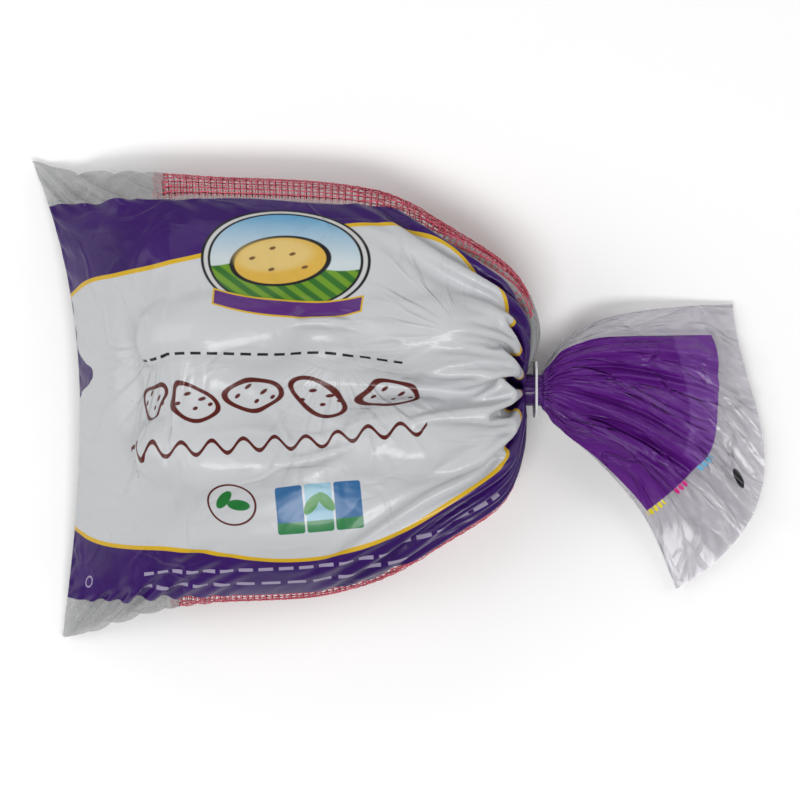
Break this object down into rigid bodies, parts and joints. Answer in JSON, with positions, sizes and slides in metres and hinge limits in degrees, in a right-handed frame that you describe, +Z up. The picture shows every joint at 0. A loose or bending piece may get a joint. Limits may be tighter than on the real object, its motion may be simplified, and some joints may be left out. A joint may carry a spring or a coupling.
{
  "type": "bag of potatoes",
  "caption": "Tied retail bag of russet potatoes with a printed film front, a net back, a closure clip and a flared film tail, lying on its back.",
  "frame": {"origin": "middle of the bounding box, on the surface that the bag lies on", "axes": "+Z up, +X from the bag's sealed bottom towards its open tail, +Y across the bag"},
  "size_m": [0.4084, 0.2592, 0.1062],
  "materials": {
    "printed_film": "glossy polythene film with purple, gold and brown print",
    "clear_film": "glossy, hazy clear polythene film",
    "net": "pink-red extruded strands",
    "clip_plastic": "satin",
    "russet_skin": "dry, finely netted russet skin"
  },
  "bodies": {
    "root": {"printed_front_film": "printed_film", "clear_bottom_film": "clear_film", "net_back_panel": "net", "clear_neck_and_tail_film": "clear_film", "closure_clip": "clip_plastic", "potato_01": "russet_skin", "potato_02": "russet_skin", "potato_03": "russet_skin", "potato_04": "russet_skin", "potato_05": "russet_skin", "potato_06": "russet_skin", "potato_07": "russet_skin", "potato_08": "russet_skin", "potato_09": "russet_skin", "potato_10": "russet_skin"}
  },
  "joints": []
}
